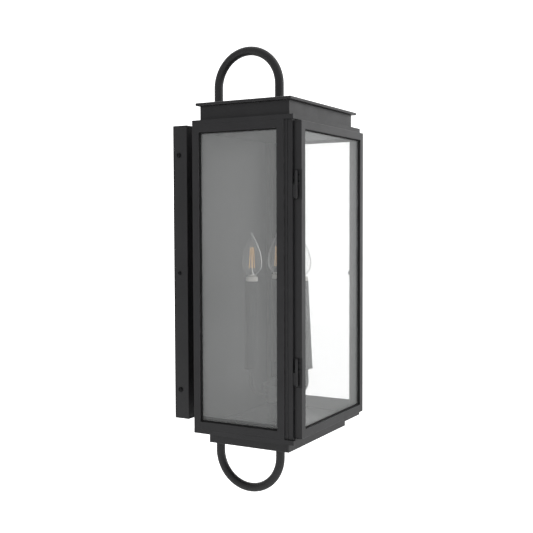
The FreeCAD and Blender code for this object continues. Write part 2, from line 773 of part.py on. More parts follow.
# ---------------------------------------------------------------- candle lamps
def lamp_place(name):
    """Placement of a candle's foot: its axis leans in towards the hub."""
    direction, lean = lamps[name]
    angle = math.radians(direction)
    foot = V(lamp_circle_radius * math.cos(angle), hub_y + lamp_circle_radius * math.sin(angle), candle_z)
    turn = FreeCAD.Rotation(UP, direction).multiply(FreeCAD.Rotation(V(0, 1, 0), -lean))
    return FreeCAD.Placement(foot, turn)


def at_lamp(shape, name):
    placed = shape.copy()
    placed.Placement = lamp_place(name)
    return placed


def arm_edges(name):
    """The arm's centreline from inside the hub, out level, round the bend and up to the cup."""
    direction, lean = lamps[name]
    tilt = math.radians(lean)
    foot_z = candle_z - cup_cone
    bend_end_z = arm_z + arm_bend_radius * (1 + math.sin(tilt))
    bend_end_r = lamp_circle_radius + math.tan(tilt) * (candle_z - bend_end_z)
    bend_r = bend_end_r - arm_bend_radius * math.cos(tilt)
    foot_r = lamp_circle_radius + math.tan(tilt) * (candle_z - foot_z)
    half = (math.pi / 2 + tilt) / 2
    middle = (bend_r + arm_bend_radius * math.sin(half), arm_z + arm_bend_radius * (1 - math.cos(half)))
    outline = [(hub_radius - arm_inside_hub, arm_z), (bend_r, arm_z), middle, (bend_end_r, bend_end_z),
               (foot_r, foot_z)]
    angle = math.radians(direction)
    p = [V(r * math.cos(angle), hub_y + r * math.sin(angle), z) for r, z in outline]
    edges = [Part.LineSegment(p[0], p[1]).toShape(), Part.Arc(p[1], p[2], p[3]).toShape(),
             Part.LineSegment(p[3], p[4]).toShape()]
    return edges, p[0], (p[1] - p[0]).normalize()


def lamp_arm(name):
    edges, start, outwards = arm_edges(name)
    wire = Part.Wire(edges)
    solids = []
    for radius in (arm_radius, arm_bore_radius):
        ring = Part.Wire(Part.makeCircle(radius, start, outwards))
        solids.append(wire.makePipeShell([ring], True, True))
    return solids[0].cut(solids[1])


def lamp_hub():
    rim = hub_height + hub_rim_height
    outline = [(0, 0), (hub_foot_radius, 0), (hub_foot_radius, hub_foot_height),
               (hub_radius, hub_foot_height + hub_foot_taper), (hub_radius, hub_height), (hub_rim_radius, hub_height),
               (hub_rim_radius, rim), (hub_radius, rim + 1), (hub_dome_top_radius, rim + hub_dome_height),
               (hub_button_radius, rim + hub_dome_height), (hub_button_radius, rim + hub_dome_height + 4),
               (0, rim + hub_dome_height + 6)]
    hub = revolve(outline)
    hub.translate(V(0, hub_y, floor_z))
    for name in lamps:
        edges, start, outwards = arm_edges(name)
        hub = hub.cut(rod(arm_radius + fit, start, outwards, hub_rim_radius))
    chamber_low = hub_foot_height + hub_foot_taper + hub_wall
    chamber = rod(hub_radius - arm_inside_hub, V(0, hub_y, floor_z + chamber_low), UP,
                  hub_height - hub_wall - chamber_low)
    wire_way = rod(arm_bore_radius, V(0, hub_y, floor_z), UP, chamber_low + 1)
    bolt_hole = rod(hub_bolt_radius, V(0, hub_y, floor_z - 1), UP, hub_bolt_drop + 1)
    return hub.cut([chamber, wire_way, bolt_hole])


def hub_fixing():
    """The hollow bolt that holds the hub to the floor, with its nut under the sheet."""
    under = floor_z - sheet - hub_nut_height
    bolt = pipe(hub_bolt_radius - fit, arm_bore_radius, V(0, hub_y, under - 2), UP,
                floor_z + hub_bolt_drop - under + 2)
    nut = hexagon(hub_nut_across, V(0, hub_y, under), UP, hub_nut_height)
    nut = nut.cut(rod(hub_bolt_radius, V(0, hub_y, under), UP, hub_nut_height))
    return group([bolt, nut])


def candle_cup():
    """The cup under a sleeve, with the threaded post that carries the socket."""
    outline = [(arm_bore_radius, -cup_cone), (arm_radius, -cup_cone), (cup_radius, 0), (cup_radius, cup_lip),
               (sleeve_radius + fit, cup_lip), (sleeve_radius + fit, 0), (cup_post_radius, 0),
               (cup_post_radius, cup_post_height), (arm_bore_radius, cup_post_height)]
    return revolve(outline)


def candle_sleeve():
    return pipe(sleeve_radius, sleeve_bore_radius, V(0, 0, 0), UP, sleeve_length)


def lamp_socket():
    body = rod(socket_radius, V(0, 0, cup_post_height), UP, sleeve_length - cup_post_height)
    collar = rod(collar_radius, V(0, 0, sleeve_length), UP, collar_height)
    depth = bulb_base_length + bulb_tip_height - bulb_base_above_collar
    bore = rod(bulb_base_radius + bulb_base_play, V(0, 0, collar_z - depth), UP, depth)
    return body.fuse(collar).cut(bore).removeSplitter()


def bulb_curve(shrink):
    """Bulb outline from the neck to the tip on the axis, drawn in by shrink."""
    neck = (bulb_base_radius + fit + glass_wall, bulb_neck_height)
    points = [V(r - shrink, 0, collar_z + z) for r, z in (neck,) + bulb_outline]
    points.append(V(0, 0, collar_z + bulb_height - shrink))
    curve = Part.BSplineCurve()
    curve.interpolate(Points=points)
    return curve.toShape(), points[0], points[-1]


def bulb_glass():
    outer, outer_neck, outer_tip = bulb_curve(0)
    inner, inner_neck, inner_tip = bulb_curve(glass_wall)
    edges = [outer, Part.LineSegment(outer_tip, inner_tip).toShape(), inner,
             Part.LineSegment(inner_neck, outer_neck).toShape()]
    face = Part.Face(Part.Wire(Part.__sortEdges__(edges)))
    return face.revolve(V(0, 0, 0), UP, 360)


def bulb_base():
    high = collar_z + bulb_base_above_collar
    low = high - bulb_base_length
    shell = rod(bulb_base_radius, V(0, 0, low), UP, bulb_base_length)
    tip = cone(bulb_tip_radius, bulb_base_radius, V(0, 0, low - bulb_tip_height), UP, bulb_tip_height)
    return shell.fuse(tip).removeSplitter()


def bulb_filament():
    """Glass stem with a ring of straight filament strips that lean together towards the top."""
    foot = collar_z + bulb_base_above_collar
    low, high = collar_z + filament_low, collar_z + filament_high
    stem = cone(stem_radius, stem_top_radius, V(0, 0, foot), UP, low - foot + 4)
    rodlet = rod(stem_top_radius * 0.6, V(0, 0, low), UP, high - low + 3)
    solids = [stem.fuse(rodlet)]
    for i in range(filament_count):
        angle = math.radians(45 + 360 * i / filament_count)
        spread = V(math.cos(angle), math.sin(angle), 0)
        start = spread * filament_low_circle + UP * low
        end = spread * filament_high_circle + UP * high
        solids.append(rod(filament_radius, start, end - start, (end - start).Length))
    return group(solids)


# ---------------------------------------------------------------- the assembly
def build():
    parts = {
        "wall_bracket": wall_bracket(), "rim_seal": rim_seal(), "wall_pan": wall_pan(),
        "pan_screws": pan_screws(), "spine_tube": spine_tube(), "spine_spigots": spine_spigots(),
        "spine_saddles": spine_saddles(), "saddle_caps": saddle_caps(), "saddle_screws": saddle_screws(),
        "upper_crook": crook(upper_bend_z, cap_top_z), "lower_crook": crook(lower_bend_z, base_box_z),
        "crook_nipples": crook_nipples(), "crook_washers": crook_washers(), "crook_nuts": crook_nuts(),
        "cap_plate": cap_plate(), "cap_riser": cap_riser(), "top_tray": top_tray(),
        "base_tray": base_tray(), "base_box": base_box(), "corner_screws": corner_screws(),
        "back_panel": back_panel(), "ceiling_panel": ceiling_panel(), "floor_panel": floor_panel(),
        "left_side_frame": side_frame(), "right_side_frame": turned(side_frame()),
        "side_gaskets": group([side_gasket(), turned(side_gasket())]),
        "left_side_glass": side_glass(), "right_side_glass": turned(side_glass()),
        "left_glass_bead": side_bead(), "right_glass_bead": turned(side_bead()),
        "glass_clips": group(side_clips() + [turned(clip) for clip in side_clips()]),
        "door_frame": door_frame(), "door_glass": door_glass(), "door_gasket": door_gasket(),
        "door_bead": door_bead(), "finger_pull": finger_pull(), "hinge_knuckles": post_knuckles(),
        "hinge_leaves": door_leaves(), "hinge_pins": hinge_pins(), "hinge_screws": hinge_screws(),
        "catch_magnets": catch_magnets(), "catch_strikes": catch_strikes(),
        "door_bumpers": door_bumpers(), "lamp_hub": lamp_hub(), "hub_fixing": hub_fixing(),
        "lamp_arms": group(lamp_arm(name) for name in lamps),
        "candle_cups": group(at_lamp(candle_cup(), name) for name in lamps),
        "candle_sleeves": group(at_lamp(candle_sleeve(), name) for name in lamps),
        "lamp_sockets": group(at_lamp(lamp_socket(), name) for name in lamps),
    }
    for name, corner in post_corners().items():
        parts["post_" + name] = corner_post(*corner)
    parts["post_front_right"] = front_right_post()
    for name in lamps:
        parts["bulb_base_" + name] = at_lamp(bulb_base(), name)
        parts["bulb_glass_" + name] = at_lamp(bulb_glass(), name)
    parts["bulb_filaments"] = group(at_lamp(bulb_filament(), name) for name in lamps)
    return parts


os.makedirs("parts", exist_ok=True)
for node, shape in build().items():
    shape.exportStep("parts/" + node + ".step")
    print(node, len(shape.Solids), "solid(s)", round(shape.Volume / 1000, 2), "cm3", shape.isValid())
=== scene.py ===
import json
import math

import bmesh
import bpy
from bpy.props import FloatProperty, FloatVectorProperty, IntProperty, PointerProperty
from mathutils import Matrix, Vector


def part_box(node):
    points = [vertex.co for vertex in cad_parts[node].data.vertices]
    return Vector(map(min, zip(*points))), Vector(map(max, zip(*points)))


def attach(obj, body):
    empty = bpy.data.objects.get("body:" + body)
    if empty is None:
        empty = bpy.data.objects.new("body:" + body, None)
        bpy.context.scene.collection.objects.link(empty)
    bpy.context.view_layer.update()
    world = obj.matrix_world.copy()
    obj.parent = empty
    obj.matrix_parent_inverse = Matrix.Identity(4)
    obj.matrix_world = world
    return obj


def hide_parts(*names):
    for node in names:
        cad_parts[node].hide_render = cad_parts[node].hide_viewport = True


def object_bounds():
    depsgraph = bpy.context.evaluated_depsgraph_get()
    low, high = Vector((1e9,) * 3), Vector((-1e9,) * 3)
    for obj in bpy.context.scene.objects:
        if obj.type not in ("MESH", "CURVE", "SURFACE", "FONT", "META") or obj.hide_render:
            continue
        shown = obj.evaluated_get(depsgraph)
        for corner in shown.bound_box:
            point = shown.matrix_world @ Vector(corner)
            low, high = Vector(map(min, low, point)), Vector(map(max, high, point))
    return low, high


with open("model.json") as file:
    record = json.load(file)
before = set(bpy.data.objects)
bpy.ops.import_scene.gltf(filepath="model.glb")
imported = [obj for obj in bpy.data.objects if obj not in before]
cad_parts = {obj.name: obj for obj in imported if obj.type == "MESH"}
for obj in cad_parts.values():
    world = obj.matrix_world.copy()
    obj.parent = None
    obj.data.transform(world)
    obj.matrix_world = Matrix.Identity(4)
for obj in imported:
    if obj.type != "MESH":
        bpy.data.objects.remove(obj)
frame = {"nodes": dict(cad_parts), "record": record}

bl_info = {
    "name": "Wall lantern",
    "version": (1, 0, 0),
    "blender": (4, 5, 0),
    "location": "3D View > Sidebar > Lantern",
    "description": "Finishes an outdoor wall lantern around its packed frame, piece by piece",
    "category": "Object",
}

NODES = frame["nodes"]
CAD_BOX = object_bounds()
BODY_OF = {node: body for body, nodes in frame["record"]["behaviour"]["bodies"].items() for node in nodes}
LAMPS = ("front", "left", "right")
UP = Vector((0, 0, 1))
EDGE_SHEEN_AND_WEAR = "edge_sheen_and_wear"         # face attribute: 1 on the rounded edges, which get a painted sheen and a rubbed coat
SAME_POINT = 2e-6               # corners closer than this are one corner
FLAT_DEGREES = 0.4              # neighbouring faces flatter than this are one face
FLOOR_HALF_WIDTH = 6.0
WIRE_RADIUS = 0.00018           # wires that hold the filament strips
WELD_HEIGHT = 0.0035            # straight end of a crook above its weld


# ---------------------------------------------------------------- settings
class LanternMetal(bpy.types.PropertyGroup):
    coat_colour: FloatVectorProperty(
        name="Coat colour", description="Colour of the black powder coat", subtype="COLOR",
        size=4, min=0, max=1, default=(0.028, 0.028, 0.030, 1))
    # lighter colour of the rounded edges: partly a painted sheen, partly a rubbed coat
    sheen_and_wear_colour: FloatVectorProperty(
        name="Sheen and wear colour", description="Colour of the rounded edges: painted sheen and rubbed coat", subtype="COLOR",
        size=4, min=0, max=1, default=(0.075, 0.074, 0.076, 1))
    coat_roughness: FloatProperty(
        name="Coat roughness", description="Middle roughness of the satin coat", subtype="FACTOR",
        min=0, max=1, default=0.40)
    coat_grain: FloatProperty(
        name="Coat grain", description="Size of the coat's fine orange-peel grain", unit="LENGTH",
        min=0.0002, max=0.01, default=0.0014)
    sheet_edge: FloatProperty(
        name="Sheet edge", description="Rounding of folded sheet edges", unit="LENGTH",
        min=0, max=0.002, default=0.0006)
    bar_edge: FloatProperty(
        name="Bar edge", description="Rounding of bars, frames and posts", unit="LENGTH",
        min=0, max=0.002, default=0.0004)
    fine_edge: FloatProperty(
        name="Fine edge", description="Rounding of small turned and pressed parts", unit="LENGTH",
        min=0, max=0.001, default=0.00015)
    tube_sides: IntProperty(
        name="Tube sides", description="Flats round a tube", min=12, max=96, default=40)


class LanternGlazing(bpy.types.PropertyGroup):
    pane_tint: FloatVectorProperty(
        name="Pane tint", description="Colour of the window glass", subtype="COLOR",
        size=4, min=0, max=1, default=(0.985, 0.995, 0.99, 1))
    pane_edge: FloatProperty(
        name="Pane edge", description="Ground edge of each pane", unit="LENGTH",
        min=0, max=0.001, default=0.0003)
    glass_index: FloatProperty(
        name="Glass index", description="How strongly the glass bends light", min=1, max=2, default=1.5)


class LanternLamps(bpy.types.PropertyGroup):
    filament_colour: FloatVectorProperty(
        name="Filament colour", description="Amber coat of the filament strips", subtype="COLOR",
        size=4, min=0, max=1, default=(0.95, 0.50, 0.13, 1))
    filament_count: IntProperty(
        name="Filaments", description="Filament strips in each bulb", min=1, max=8, default=4)
    collar_colour: FloatVectorProperty(
        name="Collar colour", description="Moulded lampholder", subtype="COLOR",
        size=4, min=0, max=1, default=(0.80, 0.78, 0.73, 1))
    bulb_wall: FloatProperty(
        name="Bulb wall", description="Thickness of the blown glass", unit="LENGTH",
        min=0.0002, max=0.002, default=0.0007)
    bulb_sides: IntProperty(
        name="Bulb sides", description="Flats round a bulb", min=16, max=128, default=64)


class LanternStage(bpy.types.PropertyGroup):
    camera_place: FloatVectorProperty(
        name="Camera place", description="Where the camera stands", unit="LENGTH",
        size=3, default=(-1.3733, -0.9011, 0.0862))
    camera_heading: FloatProperty(
        name="Camera heading", description="Direction of view, from +X towards +Y", unit="ROTATION",
        default=math.radians(29.18))
    camera_pitch: FloatProperty(
        name="Camera pitch", description="Tilt of the view above level", unit="ROTATION",
        default=math.radians(-2.77))
    camera_roll: FloatProperty(
        name="Camera roll", description="Turn of the camera about its view", unit="ROTATION", default=-0.0035)
    camera_lens: FloatProperty(
        name="Camera lens", description="Focal length in millimetres", min=10, max=200, default=60.04)
    floor_drop: FloatProperty(
        name="Floor drop", description="From the lantern's lowest point to the floor", unit="LENGTH",
        min=0, max=3, default=0.45)
    floor_colour: FloatVectorProperty(
        name="Floor colour", description="Pale studio floor", subtype="COLOR",
        size=4, min=0, max=1, default=(0.88, 0.88, 0.88, 1))
    backdrop: FloatProperty(
        name="Backdrop", description="Brightness of the white backdrop behind the lantern", min=0, max=5,
        default=1.7)
    bright_side: FloatProperty(
        name="Bright side", description="Strength of the studio light from the far side", min=0, max=5,
        default=1.15)
    dim_side: FloatProperty(
        name="Dim side", description="Strength of the studio light from the near side", min=0, max=5,
        default=0.42)


# ---------------------------------------------------------------- meshes
def finished_object(name, bm, material, smooth_angle=40):
    """A new object from a bmesh, shaded smooth across edges flatter than smooth_angle degrees."""
    mesh = bpy.data.meshes.new(name)
    bmesh.ops.recalc_face_normals(bm, faces=bm.faces)
    bm.to_mesh(mesh)
    bm.free()
    mesh.shade_smooth()
    mesh.set_sharp_from_angle(angle=math.radians(smooth_angle))
    mesh.materials.append(material)
    piece = bpy.data.objects.new(name, mesh)
    bpy.context.scene.collection.objects.link(piece)
    return piece


def place_piece(piece, node, *more_nodes):
    """The piece stands for its CAD nodes, which it hides, and rides on their body."""
    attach(piece, BODY_OF[node])
    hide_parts(node, *more_nodes)
    return piece


def even_shading(piece):
    """Large flat faces keep flat shading next to their rounded edges."""
    modifier = piece.modifiers.new("even_shading", "WEIGHTED_NORMAL")
    modifier.keep_sharp = True
    modifier.weight = 100
    return piece


def node_bmesh(node):
    """The node's surface with whole vertices and whole flat faces."""
    bm = bmesh.new()
    bm.from_mesh(NODES[node].data)
    bmesh.ops.remove_doubles(bm, verts=bm.verts, dist=SAME_POINT)
    bmesh.ops.dissolve_limit(bm, angle_limit=math.radians(FLAT_DEGREES), verts=bm.verts, edges=bm.edges)
    return bm


def round_edges(bm, width, segments=2, sharp_angle=32):
    """Rounds the sharp edges and marks their faces for the painted edge sheen and the rubbed coat."""
    sheen_and_wear = bm.faces.layers.float.new(EDGE_SHEEN_AND_WEAR)
    sharp = [e for e in bm.edges
             if len(e.link_faces) == 2 and e.calc_face_angle(0) > math.radians(sharp_angle)]
    if width > 0 and sharp:
        made = bmesh.ops.bevel(bm, geom=sharp, offset=width, offset_type="OFFSET", segments=segments,
                               profile=0.5, affect="EDGES", clamp_overlap=True)
        for face in made["faces"]:
            face[sheen_and_wear] = 1.0
    return bm


def finish_node(node, material, width, segments=2):
    """The CAD node's own shape with rounded edges and a finish."""
    bm = round_edges(node_bmesh(node), width, segments)
    return place_piece(even_shading(finished_object(node + "_finish", bm, material)), node)


def islands(node):
    """The node's separate solids, each as a list of its corners."""
    bm = bmesh.new()
    bm.from_mesh(NODES[node].data)
    bmesh.ops.remove_doubles(bm, verts=bm.verts, dist=SAME_POINT)
    found, seen = [], set()
    for start in bm.verts:
        if start in seen:
            continue
        seen.add(start)
        todo, corners = [start], []
        while todo:
            vert = todo.pop()
            corners.append(vert.co.copy())
            for edge in vert.link_edges:
                other = edge.other_vert(vert)
                if other not in seen:
                    seen.add(other)
                    todo.append(other)
        found.append(corners)
    bm.free()
    return found


def limits(corners):
    low = Vector([min(c[i] for c in corners) for i in range(3)])
    high = Vector([max(c[i] for c in corners) for i in range(3)])
    return low, high


def frame_along(direction):
    """A rotation that takes +Z to direction."""
    return UP.rotation_difference(direction).to_matrix().to_4x4()


def add_turned(bm, outline, place, sides=48):
    """Adds an outline of (radius, height) pairs turned about its axis; a radius of 0 closes it."""
    rings = []
    for radius, height in outline:
        if radius < 1e-7:
            rings.append([bm.verts.new(place @ Vector((0, 0, height)))])
            continue
        ring = []
        for i in range(sides):
            angle = math.tau * i / sides
            ring.append(bm.verts.new(place @ Vector((radius * math.cos(angle), radius * math.sin(angle),
                                                     height))))
        rings.append(ring)
    for lower, upper in zip(rings, rings[1:]):
        add_band(bm, lower, upper)
    return rings


def add_band(bm, lower, upper):
    """Faces between two rings, either of which may be a single point."""
    count = max(len(lower), len(upper))
    for i in range(count):
        j = (i + 1) % count
        corners = [lower[i % len(lower)], lower[j % len(lower)], upper[j % len(upper)], upper[i % len(upper)]]
        unique = [c for k, c in enumerate(corners) if c not in corners[:k]]
        if len(unique) > 2:
            bm.faces.new(unique)


def add_tube(bm, path, radius, sides):
    """Adds a round tube with closed ends, whose centre follows path."""
    direction = (path[1] - path[0]).normalized()
    across = direction.orthogonal().normalized()
    rings = []
    for i, point in enumerate(path):
        ahead = path[min(i + 1, len(path) - 1)] - path[max(i - 1, 0)]
        turn = direction.rotation_difference(ahead.normalized())
        across = turn @ across
        direction = ahead.normalized()
        over = direction.cross(across)
        ring = []
        for k in range(sides):
            angle = math.tau * k / sides
            ring.append(bm.verts.new(point + radius * (math.cos(angle) * across + math.sin(angle) * over)))
        rings.append(ring)
    for lower, upper in zip(rings, rings[1:]):
        add_band(bm, lower, upper)
    bm.faces.new(list(reversed(rings[0])))
    bm.faces.new(rings[-1])


def arc(centre, start, end, steps):
    """Points on an arc about centre from start to end, both at the same distance from it."""
    first, last = start - centre, end - centre
    turn = first.rotation_difference(last)
    axis, angle = turn.to_axis_angle()
    return [centre + Matrix.Rotation(angle * i / steps, 3, axis) @ first for i in range(steps + 1)]


def add_screw_head(bm, seat, outward, radius, height, recess=0.34):
    """Adds a domed head with a cross recess, its flat side on the seat."""
    place = Matrix.Translation(seat) @ frame_along(outward)
    rings, sides = 14, 48
    cross_half_width, cross_reach = 0.13, 0.58      # of the recess, as shares of the head's radius
    made = [[bm.verts.new(place @ Vector((0, 0, height * (1 - recess))))]]
    for i in range(1, rings + 1):
        r = i / rings
        dome = height * (0.45 + 0.55 * math.sqrt(max(0.0, 1 - r ** 2.6)))
        ring = []
        for k in range(sides):
            angle = math.tau * k / sides
            x, y = r * math.cos(angle), r * math.sin(angle)
            arm = min(abs(x), abs(y)) < cross_half_width and max(abs(x), abs(y)) < cross_reach
            drop = recess * height * (1.0 - 0.4 * r) if arm else 0.0
            ring.append(bm.verts.new(place @ Vector((radius * x, radius * y, dome - drop))))
        made.append(ring)
    foot = [bm.verts.new(place @ Vector((radius * math.cos(math.tau * k / sides),
                                         radius * math.sin(math.tau * k / sides), 0)))
            for k in range(sides)]
    made.append(foot)
    for inner, outer in zip(made, made[1:]):
        add_band(bm, inner, outer)
    bm.faces.new(foot)


# ---------------------------------------------------------------- materials
class NodeTree:
    """A material's nodes, added one at a time and joined by socket names."""

    def __init__(self, name):
        self.material = bpy.data.materials.new(name)
        self.material.use_nodes = True
        self.tree = self.material.node_tree
        self.shader = self.tree.nodes["Principled BSDF"]
        self.output = self.tree.nodes["Material Output"]
        self.place = self.add("ShaderNodeTexCoord")

    def add(self, kind, **values):
        node = self.tree.nodes.new(kind)
        for key, value in values.items():
            if key in node.inputs:
                node.inputs[key].default_value = value
            else:
                setattr(node, key, value)
        return node

    def join(self, start, end):
        self.tree.links.new(start, end)

    def noise(self, size, detail=2.0, roughness=0.5):
        """Noise whose lumps are about size metres across."""
        node = self.add("ShaderNodeTexNoise", Detail=detail, Roughness=roughness, Scale=1.0 / size)
        self.join(self.place.outputs["Object"], node.inputs["Vector"])
        return node.outputs["Fac"]

    def spread(self, source, low, high, start=0.3, end=0.7):
        """Maps source from start..end to low..high."""
        node = self.add("ShaderNodeMapRange")
        node.inputs["From Min"].default_value = start
        node.inputs["From Max"].default_value = end
        node.inputs["To Min"].default_value = low
        node.inputs["To Max"].default_value = high
        self.join(source, node.inputs["Value"])
        return node.outputs["Result"]

    def mix(self, factor, first, second):
        """Mixes two colours, each a value or a socket, by a factor socket."""
        node = self.add("ShaderNodeMix", data_type="RGBA")
        self.join(factor, node.inputs["Factor"])
        for value, socket in ((first, node.inputs["A"]), (second, node.inputs["B"])):
            if isinstance(value, bpy.types.NodeSocket):
                self.join(value, socket)
            else:
                socket.default_value = value
        return node.outputs["Result"]

    def times(self, first, second):
        node = self.add("ShaderNodeMath", operation="MULTIPLY")
        self.join(first, node.inputs[0])
        if isinstance(second, bpy.types.NodeSocket):
            self.join(second, node.inputs[1])
        else:
            node.inputs[1].default_value = second
        return node.outputs["Value"]

    def bump(self, *layers):
        """Joins (height socket, depth in metres) layers into one normal for the shader."""
        normal = None
        for height, depth in layers:
            node = self.add("ShaderNodeBump", Strength=1.0, Distance=depth)
            self.join(height, node.inputs["Height"])
            if normal:
                self.join(normal, node.inputs["Normal"])
            normal = node.outputs["Normal"]
        self.join(normal, self.shader.inputs["Normal"])

    def sheen_and_wear(self):
        """Mask of the rounded edges, broken up by noise, where the colour is painted lighter: partly painted
        sheen, partly rubbed coat.
        """
        edge = self.add("ShaderNodeAttribute", attribute_name=EDGE_SHEEN_AND_WEAR)
        return self.times(edge.outputs["Fac"], self.spread(self.noise(0.012, 4), 0.1, 0.9, 0.35, 0.65))

    def shade(self, colour=None, roughness=None, **constants):
        """Joins or sets the shader's colour and roughness, and sets its other values."""
        for key, value in (("Base Color", colour), ("Roughness", roughness)):
            if isinstance(value, bpy.types.NodeSocket):
                self.join(value, self.shader.inputs[key])
            elif value is not None:
                self.shader.inputs[key].default_value = value
        for key, value in constants.items():
            self.shader.inputs[key.replace("_", " ")].default_value = value
        return self.material


def shades(colour, factor):
    """The colour made lighter or darker by factor."""
    return [min(1.0, c * factor) for c in colour[:3]] + [1.0]


def powder_coat(settings):
    """Satin black powder coat: a fine grain, faint mottling, and rounded edges painted lighter, partly as a
    painted sheen and partly as a little rubbed coat.
    """
    t = NodeTree("satin_black_coat")
    mottle = t.mix(t.spread(t.noise(0.06, 3), 0, 1), shades(settings.coat_colour, 0.88),
                   shades(settings.coat_colour, 1.14))
    # rounded edges take a lighter colour: painted sheen, and partly a rubbed coat
    colour = t.mix(t.sheen_and_wear(), mottle, list(settings.sheen_and_wear_colour))
    r = settings.coat_roughness
    roughness = t.spread(t.noise(0.025, 5, 0.6), r - 0.045, r + 0.05)
    t.bump((t.noise(settings.coat_grain, 2), 0.000009), (t.noise(settings.coat_grain * 6, 2), 0.00001))
    return t.shade(colour, roughness, Specular_IOR_Level=0.5)


def sleeve_coat(settings):
    """Matt black painted sleeve, a little rougher than the metal."""
    t = NodeTree("matt_black_sleeve")
    base = shades(settings.coat_colour, 1.05)
    colour = t.mix(t.spread(t.noise(0.02, 4), 0, 1), shades(base, 0.85), shades(base, 1.2))
    t.bump((t.noise(0.0006, 2), 0.00002))
    return t.shade(colour, t.spread(t.noise(0.01, 4), 0.46, 0.58))


def dark_fastener():
    """Blackened steel with a faint turned sheen, painted as a lighter colour on its rounded edges."""
    t = NodeTree("blackened_steel")
    # rounded edges painted lighter: a painted sheen, partly rubbed metal
    colour = t.mix(t.sheen_and_wear(), [0.018, 0.018, 0.02, 1], [0.10, 0.10, 0.105, 1])
    t.bump((t.noise(0.0004, 3), 0.000015))
    return t.shade(colour, t.spread(t.noise(0.003, 4), 0.26, 0.42), Metallic=0.55)


def zinc_plate():
    """Zinc plated steel with large soft spangles."""
    t = NodeTree("zinc_plate")
    spangle = t.add("ShaderNodeTexVoronoi", Scale=90.0)
    t.join(t.place.outputs["Object"], spangle.inputs["Vector"])
    colour = t.mix(spangle.outputs["Distance"], [0.55, 0.56, 0.57, 1], [0.68, 0.69, 0.70, 1])
    t.bump((t.noise(0.0008, 3), 0.00001))
    return t.shade(colour, t.spread(t.noise(0.008, 4), 0.28, 0.46), Metallic=1.0)


def nickel():
    """Bright nickel of the bulbs' bases."""
    t = NodeTree("bright_nickel")
    colour = t.mix(t.spread(t.noise(0.002, 4), 0, 1), [0.70, 0.67, 0.62, 1], [0.80, 0.78, 0.74, 1])
    t.bump((t.noise(0.0005, 3), 0.000008))
    return t.shade(colour, t.spread(t.noise(0.002, 4), 0.16, 0.3), Metallic=1.0)


def moulded_white(settings):
    """Cream white moulded lampholder."""
    t = NodeTree("moulded_white")
    colour = t.mix(t.spread(t.noise(0.006, 4), 0, 1), shades(settings.collar_colour, 0.94),
                   shades(settings.collar_colour, 1.05))
    t.bump((t.noise(0.0007, 3), 0.00002))
    return t.shade(colour, t.spread(t.noise(0.004, 3), 0.34, 0.48))


def black_rubber():
    """Rubber with a dull bloom."""
    t = NodeTree("black_rubber")
    colour = t.mix(t.spread(t.noise(0.01, 5), 0, 1), [0.012, 0.012, 0.013, 1], [0.026, 0.026, 0.027, 1])
    t.bump((t.noise(0.0008, 4), 0.00004))
    return t.shade(colour, t.spread(t.noise(0.004, 4), 0.6, 0.8))


def foam():
    """Closed-cell foam with open pores on its cut edge."""
    t = NodeTree("seal_foam")
    pores = t.add("ShaderNodeTexVoronoi", Scale=1400.0)
    t.join(t.place.outputs["Object"], pores.inputs["Vector"])
    colour = t.mix(pores.outputs["Distance"], [0.008, 0.008, 0.008, 1], [0.03, 0.03, 0.031, 1])
    t.bump((pores.outputs["Distance"], 0.0002))
    return t.shade(colour, t.spread(t.noise(0.003, 3), 0.8, 0.95))


def pull_plastic():
    """Black moulded plastic with a fine spark-eroded texture."""
    t = NodeTree("black_plastic")
    colour = t.mix(t.spread(t.noise(0.004, 4), 0, 1), [0.009, 0.009, 0.01, 1], [0.016, 0.016, 0.017, 1])
    t.bump((t.noise(0.0004, 3), 0.00004))
    return t.shade(colour, t.spread(t.noise(0.003, 3), 0.5, 0.62))


def amber_phosphor(settings):
    """Amber phosphor coat with the row of chips showing through as paler beads."""
    t = NodeTree("amber_phosphor")
    beads = t.add("ShaderNodeTexWave", Scale=190.0, wave_type="BANDS", bands_direction="Z")
    t.join(t.place.outputs["Object"], beads.inputs["Vector"])
    colour = t.mix(beads.outputs["Fac"], list(settings.filament_colour), [1.0, 0.70, 0.36, 1])
    t.bump((t.noise(0.0004, 3), 0.00002))
    t.shade(colour, t.spread(t.noise(0.001, 3), 0.3, 0.45), Emission_Strength=0.22)
    t.join(colour, t.shader.inputs["Emission Color"])
    return t.material


def clear_glass(name, tint, index, wave):
    """Clear glass with faint ripples. Light that isn't seen directly passes straight through."""
    t = NodeTree(name)
    t.bump((t.noise(0.09, 1), wave))
    t.shade(list(tint), 0.0, IOR=index, Transmission_Weight=1.0)
    clear = t.add("ShaderNodeBsdfTransparent")
    clear.inputs["Color"].default_value = list(tint)
    path = t.add("ShaderNodeLightPath")
    either = t.add("ShaderNodeMath", operation="MAXIMUM")
    t.join(path.outputs["Is Shadow Ray"], either.inputs[0])
    t.join(path.outputs["Is Diffuse Ray"], either.inputs[1])
    mix = t.add("ShaderNodeMixShader")
    t.join(either.outputs["Value"], mix.inputs["Fac"])
    t.join(t.shader.outputs["BSDF"], mix.inputs[1])
    t.join(clear.outputs["BSDF"], mix.inputs[2])
    t.join(mix.outputs["Shader"], t.output.inputs["Surface"])
    return t.material


def material(name):
    """The finish of that name, made at its first use."""
    found = bpy.data.materials.get(name)
    if found:
        return found
    scene = bpy.context.scene
    makers = {
        "satin_black_coat": lambda: powder_coat(scene.lantern_metal),
        "matt_black_sleeve": lambda: sleeve_coat(scene.lantern_metal),
        "blackened_steel": dark_fastener,
        "zinc_plate": zinc_plate,
        "bright_nickel": nickel,
        "moulded_white": lambda: moulded_white(scene.lantern_lamps),
        "black_rubber": black_rubber,
        "seal_foam": foam,
        "black_plastic": pull_plastic,
        "amber_phosphor": lambda: amber_phosphor(scene.lantern_lamps),
        "window_glass": lambda: clear_glass("window_glass", scene.lantern_glazing.pane_tint,
                                            scene.lantern_glazing.glass_index, 0.00001),
        "blown_glass": lambda: clear_glass("blown_glass", (0.99, 0.99, 0.985, 1),
                                           scene.lantern_glazing.glass_index, 0.00012),
    }
    return makers[name]()


